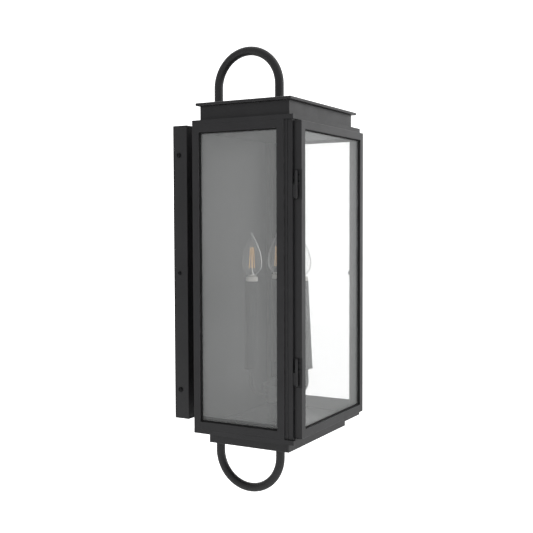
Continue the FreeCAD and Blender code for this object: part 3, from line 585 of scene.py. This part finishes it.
# ---------------------------------------------------------------- pieces
class LANTERN_OT_wall_mount(bpy.types.Operator):
    """Makes the wall bracket, its foam seal, the pan and the pan's side screws"""
    bl_idname = "lantern.wall_mount"
    bl_label = "Wall mount"

    def execute(self, context):
        metal = context.scene.lantern_metal
        finish_node("wall_bracket", material("zinc_plate"), metal.bar_edge)
        finish_node("rim_seal", material("seal_foam"), metal.bar_edge)
        finish_node("wall_pan", material("satin_black_coat"), metal.sheet_edge, 3)
        self.pan_screws()
        return {"FINISHED"}

    def pan_screws(self):
        pan_low, pan_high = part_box("wall_pan")
        bm = bmesh.new()
        for corners in islands("pan_screws"):
            low, high = limits(corners)
            side = 1 if high.x > 0 else -1
            wall = pan_high.x if side > 0 else pan_low.x
            height = (high.x - wall) if side > 0 else (wall - low.x)
            middle = (low + high) / 2
            seat = Vector((wall, middle.y, middle.z))
            add_screw_head(bm, seat, Vector((side, 0, 0)), (high.z - low.z) / 2, height)
            tail = low.x if side > 0 else high.x
            add_tube(bm, [Vector((tail, middle.y, middle.z)), seat], (high.z - low.z) / 4, 24)
        place_piece(finished_object("pan_screws_finish", bm, material("blackened_steel")), "pan_screws")


class LANTERN_OT_crooks(bpy.types.Operator):
    """Makes the spine and crook tubes, the saddles that hold the spine, and the threaded fixings"""
    bl_idname = "lantern.crooks"
    bl_label = "Crooks and spine"

    def execute(self, context):
        metal = context.scene.lantern_metal
        coat = material("satin_black_coat")
        self.crook("upper_crook", 1, coat, metal)
        self.crook("lower_crook", -1, coat, metal)
        self.spine(coat, metal)
        for node in ("spine_saddles", "saddle_caps"):
            finish_node(node, coat, metal.bar_edge)
        for node in ("spine_spigots", "crook_nipples", "crook_washers", "crook_nuts"):
            finish_node(node, material("zinc_plate"), metal.fine_edge)
        self.saddle_screws()
        return {"FINISHED"}

    def crook(self, node, way, coat, metal):
        """A hook of tube: up the spine side, round the half circle and down to the body."""
        low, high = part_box(node)
        radius = (high.x - low.x) / 2
        bend = (high.y - low.y) / 2 - radius
        crown = (high.z if way > 0 else low.z) - way * (radius + bend)
        rear = Vector((0, high.y - radius, crown))
        front = Vector((0, low.y + radius, crown))
        middle = (rear + front) / 2
        top = middle + Vector((0, 0, way * bend))
        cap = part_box("cap_plate")[1].z if way > 0 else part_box("base_box")[0].z
        spine_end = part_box("spine_tube")[1 if way > 0 else 0].z
        path = [Vector((0, rear.y, spine_end))]
        path += arc(middle, rear, top, 32) + arc(middle, top, front, 32)[1:]
        path += [Vector((0, front.y, cap + way * WELD_HEIGHT)), Vector((0, front.y, cap))]
        bm = bmesh.new()
        add_tube(bm, path, radius, metal.tube_sides)
        weld = [(radius - 0.0004, 0.0026), (radius + 0.0004, 0.0016), (radius + 0.0012, 0.0006),
                (radius + 0.0022, 0.0)]
        add_turned(bm, weld, Matrix.Translation((0, front.y, cap)) @ frame_along(UP * way),
                   metal.tube_sides)
        place_piece(finished_object(node + "_finish", bm, coat), node)

    def spine(self, coat, metal):
        low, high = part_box("spine_tube")
        y = (low.y + high.y) / 2
        bm = bmesh.new()
        ends = [Vector((0, y, low.z)), Vector((0, y, high.z))]
        add_tube(bm, ends, (high.x - low.x) / 2, metal.tube_sides)
        place_piece(finished_object("spine_tube_finish", bm, coat), "spine_tube")

    def saddle_screws(self):
        seat_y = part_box("saddle_caps")[0].y
        bm = bmesh.new()
        for corners in islands("saddle_screws"):
            low, high = limits(corners)
            middle = (low + high) / 2
            seat = Vector((middle.x, seat_y, middle.z))
            radius = (high.x - low.x) / 2
            add_screw_head(bm, seat, Vector((0, -1, 0)), radius, seat_y - low.y)
            add_tube(bm, [Vector((middle.x, high.y, middle.z)), seat], radius / 2, 24)
        place_piece(finished_object("saddle_screws_finish", bm, material("blackened_steel")),
                    "saddle_screws")


class LANTERN_OT_roof_and_base(bpy.types.Operator):
    """Makes the stepped cap, the two trays, the base box and the corner screws"""
    bl_idname = "lantern.roof_and_base"
    bl_label = "Roof and base"

    def execute(self, context):
        metal = context.scene.lantern_metal
        for node in ("cap_plate", "cap_riser", "top_tray", "base_tray", "base_box"):
            finish_node(node, material("satin_black_coat"), metal.sheet_edge, 3)
        finish_node("corner_screws", material("blackened_steel"), metal.fine_edge)
        return {"FINISHED"}


class LANTERN_OT_posts_and_panels(bpy.types.Operator):
    """Makes the corner posts, the back panel, the ceiling and the floor"""
    bl_idname = "lantern.posts_and_panels"
    bl_label = "Posts and panels"

    def execute(self, context):
        metal = context.scene.lantern_metal
        coat = material("satin_black_coat")
        for corner in ("front_left", "front_right", "rear_left", "rear_right"):
            finish_node("post_" + corner, coat, metal.bar_edge)
        for node in ("back_panel", "ceiling_panel", "floor_panel"):
            finish_node(node, coat, metal.fine_edge)
        return {"FINISHED"}


class LANTERN_OT_side_windows(bpy.types.Operator):
    """Makes the two fixed windows: frame, gasket, glass, bead and clips"""
    bl_idname = "lantern.side_windows"
    bl_label = "Side windows"

    def execute(self, context):
        metal = context.scene.lantern_metal
        glazing = context.scene.lantern_glazing
        for side in ("left", "right"):
            finish_node(side + "_side_frame", material("satin_black_coat"), metal.bar_edge)
            finish_node(side + "_glass_bead", material("satin_black_coat"), metal.bar_edge)
            finish_node(side + "_side_glass", material("window_glass"), glazing.pane_edge)
        finish_node("side_gaskets", material("black_rubber"), metal.fine_edge)
        finish_node("glass_clips", material("satin_black_coat"), metal.fine_edge)
        return {"FINISHED"}


class LANTERN_OT_door(bpy.types.Operator):
    """Makes the front door: frame, glass, gasket, bead and finger pull"""
    bl_idname = "lantern.door"
    bl_label = "Door"

    def execute(self, context):
        metal = context.scene.lantern_metal
        coat = material("satin_black_coat")
        finish_node("door_frame", coat, metal.bar_edge)
        finish_node("door_bead", coat, metal.bar_edge)
        finish_node("door_glass", material("window_glass"), context.scene.lantern_glazing.pane_edge)
        finish_node("door_gasket", material("black_rubber"), metal.fine_edge)
        finish_node("finger_pull", material("black_plastic"), metal.bar_edge, 3)
        return {"FINISHED"}


class LANTERN_OT_hinges(bpy.types.Operator):
    """Makes the lift-off hinges and the leaf screws"""
    bl_idname = "lantern.hinges"
    bl_label = "Hinges"

    def execute(self, context):
        metal = context.scene.lantern_metal
        finish_node("hinge_knuckles", material("satin_black_coat"), metal.fine_edge * 1.6, 3)
        finish_node("hinge_leaves", material("satin_black_coat"), metal.fine_edge * 1.6, 3)
        finish_node("hinge_pins", material("blackened_steel"), metal.fine_edge)
        finish_node("hinge_screws", material("blackened_steel"), metal.fine_edge)
        return {"FINISHED"}


class LANTERN_OT_catch(bpy.types.Operator):
    """Makes the door magnets, their strikes and the rubber bumpers"""
    bl_idname = "lantern.catch"
    bl_label = "Catch and bumpers"

    def execute(self, context):
        metal = context.scene.lantern_metal
        finish_node("catch_magnets", material("bright_nickel"), metal.fine_edge)
        finish_node("catch_strikes", material("zinc_plate"), metal.fine_edge)
        finish_node("door_bumpers", material("black_rubber"), metal.fine_edge)
        return {"FINISHED"}


class LANTERN_OT_lamp_stand(bpy.types.Operator):
    """Makes the hub, its hollow bolt, the three arms and the cups"""
    bl_idname = "lantern.lamp_stand"
    bl_label = "Hub, arms and cups"

    def execute(self, context):
        metal = context.scene.lantern_metal
        coat = material("satin_black_coat")
        finish_node("lamp_hub", coat, metal.bar_edge, 3)
        finish_node("lamp_arms", coat, 0)
        finish_node("candle_cups", coat, metal.fine_edge * 2)
        finish_node("hub_fixing", material("zinc_plate"), metal.fine_edge)
        return {"FINISHED"}


class LANTERN_OT_candles(bpy.types.Operator):
    """Makes the candle sleeves and the lampholders"""
    bl_idname = "lantern.candles"
    bl_label = "Candle sleeves and sockets"

    def execute(self, context):
        metal = context.scene.lantern_metal
        finish_node("candle_sleeves", material("matt_black_sleeve"), metal.fine_edge)
        finish_node("lamp_sockets", material("moulded_white"), metal.bar_edge, 3)
        return {"FINISHED"}


def lamp_place(name):
    """Placement at the top of a lamp's socket, with +Z along the candle."""
    glass = centre_of("bulb_glass_" + name)
    base = centre_of("bulb_base_" + name)
    axis = (glass - base).normalized()
    low = min((NODES["bulb_glass_" + name].data.vertices[i].co - base).dot(axis)
              for i in range(len(NODES["bulb_glass_" + name].data.vertices)))
    return Matrix.Translation(base + axis * low) @ frame_along(axis)


def centre_of(node):
    """Mean of the node's corners, which for a turned piece is on its axis."""
    vertices = NODES[node].data.vertices
    return sum((v.co for v in vertices), Vector()) / len(vertices)


def node_extent(node, place):
    """The node's largest radius and its lowest and highest level in that placement."""
    inverse = place.inverted()
    points = [inverse @ v.co for v in NODES[node].data.vertices]
    radius = max(math.hypot(p.x, p.y) for p in points)
    return radius, min(p.z for p in points), max(p.z for p in points)


class LANTERN_OT_bulbs(bpy.types.Operator):
    """Makes the bulbs: blown glass, glass stem, filament strips and screw bases"""
    bl_idname = "lantern.bulbs"
    bl_label = "Bulbs"

    def execute(self, context):
        lamps = context.scene.lantern_lamps
        for name in LAMPS:
            place = lamp_place(name)
            self.glass(name, place, lamps)
            self.base(name, place, lamps)
        self.filaments(lamps)
        return {"FINISHED"}

    def glass(self, name, place, lamps):
        """A candle-shaped envelope: neck, round shoulder and a drawn-out tip, with its inner skin."""
        radius, low, high = node_extent("bulb_glass_" + name, place)
        neck, length = radius * 0.40, high - low
        outline = [(neck, 0.0), (neck * 1.02, 0.008), (neck * 1.16, 0.035), (radius * 0.66, 0.085),
                   (radius * 0.855, 0.15), (radius * 0.965, 0.22), (radius, 0.30), (radius * 0.99, 0.37),
                   (radius * 0.935, 0.46), (radius * 0.84, 0.55), (radius * 0.71, 0.64),
                   (radius * 0.555, 0.73), (radius * 0.40, 0.81), (radius * 0.26, 0.875),
                   (radius * 0.155, 0.925), (radius * 0.085, 0.965), (radius * 0.035, 0.99)]
        outline = smooth_outline([(r, low + share * length) for r, share in outline], 3)
        outer = outline + [(0.0, high)]
        inner = [(r - lamps.bulb_wall, z) for r, z in outline if r > lamps.bulb_wall * 2.2]
        inner.append((0.0, inner[-1][1] + lamps.bulb_wall))
        bm = bmesh.new()
        outside = add_turned(bm, outer, place, lamps.bulb_sides)
        inside = add_turned(bm, inner, place, lamps.bulb_sides)
        add_band(bm, inside[0], outside[0])
        piece = finished_object("bulb_glass_%s_finish" % name, bm, material("blown_glass"), 60)
        place_piece(piece, "bulb_glass_" + name)

    def base(self, name, place, lamps):
        """Rolled screw shell with an insulator and a solder contact shaped at its foot, all of it in bright
        nickel.
        """
        node = "bulb_base_" + name
        radius, low, high = node_extent(node, place)
        tip = 0.002
        pitch, depth = 0.0025, 0.0004
        outline = [(0.0, low), (0.0022, low + 0.0003), (0.003, low + tip * 0.8),
                   (radius - depth * 2, low + tip)]
        steps = int((high - low - tip - 0.004) / (pitch / 8))
        for i in range(steps + 1):
            z = low + tip + 0.0005 + i * pitch / 8
            outline.append((radius - depth * (1 + math.cos(math.tau * i / 8)), z))
        outline += [(radius, high - 0.003), (radius, high - 0.0003), (radius - 0.0003, high), (0.0, high)]
        bm = bmesh.new()
        add_turned(bm, outline, place, lamps.bulb_sides)
        place_piece(finished_object(node + "_finish", bm, material("bright_nickel")), node)

    def filaments(self, lamps):
        """Three pieces for all bulbs: amber strips, glass stems and the wires that hold the strips."""
        strips, stems, wires = bmesh.new(), bmesh.new(), bmesh.new()
        for name in LAMPS:
            self.filament_set(lamp_place(name), lamps, strips, stems, wires)
        body = BODY_OF["bulb_filaments"]
        amber = finished_object("filament_strips", strips, material("amber_phosphor"))
        place_piece(amber, "bulb_filaments")
        for piece_name, bm, finish, slot in (("filament_stems", stems, "blown_glass", "bulb_glass"),
                                             ("filament_wires", wires, "bright_nickel", "bulb_metal")):
            piece = finished_object(piece_name, bm, material(finish), 60)
            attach(piece, body)
            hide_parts("bulb_filaments")

    def filament_set(self, place, lamps, strips, stems, wires):
        low, high = 0.0148, 0.0505
        spread_low, spread_high = 0.0046, 0.0028
        flare = [(0.0052, 0.0012), (0.0047, 0.0035), (0.0030, 0.0065), (0.0022, 0.0095),
                 (0.0018, 0.0125), (0.0012, 0.0145), (0.0007, 0.0165), (0.0006, 0.046),
                 (0.0009, 0.0475), (0.0, 0.0485)]
        add_turned(stems, smooth_outline(flare, 2), place, 32)
        for i in range(lamps.filament_count):
            angle = math.radians(45) + math.tau * i / lamps.filament_count
            out = Vector((math.cos(angle), math.sin(angle), 0))
            foot, head = out * spread_low + UP * low, out * spread_high + UP * high
            along = (head - foot).normalized()
            capsule = [(0.0, 0.0), (0.00045, 0.0001), (0.00068, 0.0004)]
            reach = (head - foot).length
            capsule += [(r, reach - z) for r, z in reversed(capsule)]
            add_turned(strips, capsule, place @ Matrix.Translation(foot) @ frame_along(along), 20)
            hold = [out * 0.0012 + UP * 0.0105, out * 0.0026 + UP * 0.0122, foot - along * 0.0003,
                    foot + along * 0.0008]
            add_tube(wires, [place @ p for p in hold], WIRE_RADIUS, 8)
            top = [head - along * 0.0008, head + along * 0.0004, out * 0.0014 + UP * (high + 0.0012),
                   UP * (high - 0.0028)]
            add_tube(wires, [place @ p for p in top], WIRE_RADIUS, 8)


def smooth_outline(points, steps):
    """More points on a smooth curve through an outline of pairs."""
    padded = [points[0]] + list(points) + [points[-1]]
    made = []
    for a, b, c, d in zip(padded, padded[1:], padded[2:], padded[3:]):
        for i in range(steps):
            t = i / steps
            made.append(tuple(
                0.5 * (2 * q + (r - p) * t + (2 * p - 5 * q + 4 * r - s) * t ** 2
                       + (3 * q - p - 3 * r + s) * t ** 3)
                for p, q, r, s in zip(a, b, c, d)))
    made.append(points[-1])
    return made


def seen_directly(tree, steps):
    """A socket that is 1 where the camera sees a thing by itself or only through clear glass; steps is how
    many bounces the light path counts for the thing itself."""
    path = tree.nodes.new("ShaderNodeLightPath")
    direct = tree.nodes.new("ShaderNodeMath")
    direct.operation = "MAXIMUM"
    tree.links.new(path.outputs["Is Camera Ray"], direct.inputs[0])
    tree.links.new(path.outputs["Is Transmission Ray"], direct.inputs[1])
    others = tree.nodes.new("ShaderNodeMath")
    others.operation = "SUBTRACT"
    tree.links.new(path.outputs["Ray Depth"], others.inputs[0])
    tree.links.new(path.outputs["Transmission Depth"], others.inputs[1])
    none = tree.nodes.new("ShaderNodeMath")
    none.operation = "COMPARE"
    none.inputs[1].default_value = steps
    none.inputs[2].default_value = 0.5
    tree.links.new(others.outputs["Value"], none.inputs[0])
    both = tree.nodes.new("ShaderNodeMath")
    both.operation = "MULTIPLY"
    tree.links.new(direct.outputs["Value"], both.inputs[0])
    tree.links.new(none.outputs["Value"], both.inputs[1])
    return both.outputs["Value"]


class LANTERN_OT_stage(bpy.types.Operator):
    """Makes the pale floor, the soft studio light and the camera"""
    bl_idname = "lantern.stage"
    bl_label = "Stage"

    def execute(self, context):
        stage = context.scene.lantern_stage
        self.floor(stage)
        self.light(stage)
        self.camera(context.scene, stage)
        context.scene.view_settings.view_transform = "Standard"
        return {"FINISHED"}

    def floor(self, stage):
        low = CAD_BOX[0]
        t = NodeTree("pale_floor")
        t.bump((t.noise(0.02, 4), 0.0002))
        t.shade(list(stage.floor_colour), 0.9)
        white = t.add("ShaderNodeEmission", Strength=stage.backdrop)
        mix = t.add("ShaderNodeMixShader")
        t.join(seen_directly(t.tree, 0), mix.inputs["Fac"])
        t.join(t.shader.outputs["BSDF"], mix.inputs[1])
        t.join(white.outputs["Emission"], mix.inputs[2])
        t.join(mix.outputs["Shader"], t.output.inputs["Surface"])
        bm = bmesh.new()
        bmesh.ops.create_grid(bm, x_segments=1, y_segments=1, size=FLOOR_HALF_WIDTH,
                              matrix=Matrix.Translation((0, 0, low[2] - stage.floor_drop)))
        finished_object("studio_floor", bm, t.material)

    def light(self, stage):
        """Soft light all round, brighter from the far side than from the near side."""
        world = bpy.data.worlds.new("studio_light")
        bpy.context.scene.world = world
        world.use_nodes = True
        nodes, links = world.node_tree.nodes, world.node_tree.links
        background = nodes["Background"]
        background.inputs["Color"].default_value = (1, 1, 1, 1)
        place = nodes.new("ShaderNodeTexCoord")
        split = nodes.new("ShaderNodeSeparateXYZ")
        ramp = nodes.new("ShaderNodeMapRange")
        ramp.interpolation_type = "SMOOTHSTEP"
        ramp.inputs["From Min"].default_value = -0.45
        ramp.inputs["From Max"].default_value = 0.35
        ramp.inputs["To Min"].default_value = stage.dim_side
        ramp.inputs["To Max"].default_value = stage.bright_side
        seen = nodes.new("ShaderNodeMath")
        seen.operation = "MULTIPLY"
        seen.inputs[1].default_value = stage.backdrop
        either = nodes.new("ShaderNodeMath")
        either.operation = "MAXIMUM"
        links.new(place.outputs["Generated"], split.inputs["Vector"])
        links.new(split.outputs["X"], ramp.inputs["Value"])
        links.new(seen_directly(world.node_tree, 1), seen.inputs[0])
        links.new(seen.outputs["Value"], either.inputs[0])
        links.new(ramp.outputs["Result"], either.inputs[1])
        links.new(either.outputs["Value"], background.inputs["Strength"])

    def camera(self, scene, stage):
        data = bpy.data.cameras.new("studio_camera")
        data.lens = stage.camera_lens
        camera = bpy.data.objects.new("studio_camera", data)
        camera.matrix_world = (Matrix.Translation(stage.camera_place)
                               @ Matrix.Rotation(stage.camera_heading - math.pi / 2, 4, "Z")
                               @ Matrix.Rotation(stage.camera_pitch + math.pi / 2, 4, "X")
                               @ Matrix.Rotation(stage.camera_roll, 4, "Z"))
        scene.collection.objects.link(camera)
        scene.camera = camera


PIECES = (
    LANTERN_OT_wall_mount, LANTERN_OT_crooks, LANTERN_OT_roof_and_base, LANTERN_OT_posts_and_panels,
    LANTERN_OT_side_windows, LANTERN_OT_door, LANTERN_OT_hinges, LANTERN_OT_catch,
    LANTERN_OT_lamp_stand, LANTERN_OT_candles, LANTERN_OT_bulbs, LANTERN_OT_stage,
)
SETTINGS = {"lantern_metal": LanternMetal, "lantern_glazing": LanternGlazing,
            "lantern_lamps": LanternLamps, "lantern_stage": LanternStage}


class LANTERN_PT_sidebar(bpy.types.Panel):
    """Lists the lantern's pieces and settings"""
    bl_idname = "LANTERN_PT_sidebar"
    bl_label = "Wall lantern"
    bl_space_type = "VIEW_3D"
    bl_region_type = "UI"
    bl_category = "Lantern"

    def draw(self, context):
        for operator in PIECES:
            self.layout.operator(operator.bl_idname)
        for name in SETTINGS:
            box = self.layout.box()
            settings = getattr(context.scene, name)
            for prop in settings.bl_rna.properties:
                if not prop.is_readonly and prop.identifier not in ("name", "rna_type"):
                    box.prop(settings, prop.identifier)


CLASSES = tuple(SETTINGS.values()) + PIECES + (LANTERN_PT_sidebar,)


def register():
    for cls in CLASSES:
        bpy.utils.register_class(cls)
    for name, cls in SETTINGS.items():
        setattr(bpy.types.Scene, name, PointerProperty(type=cls))


def unregister():
    for name in SETTINGS:
        delattr(bpy.types.Scene, name)
    for cls in reversed(CLASSES):
        bpy.utils.unregister_class(cls)


def main():
    register()
    for operator in PIECES:
        group, name = operator.bl_idname.split(".")
        getattr(getattr(bpy.ops, group), name)()


if __name__ == "__main__":
    main()
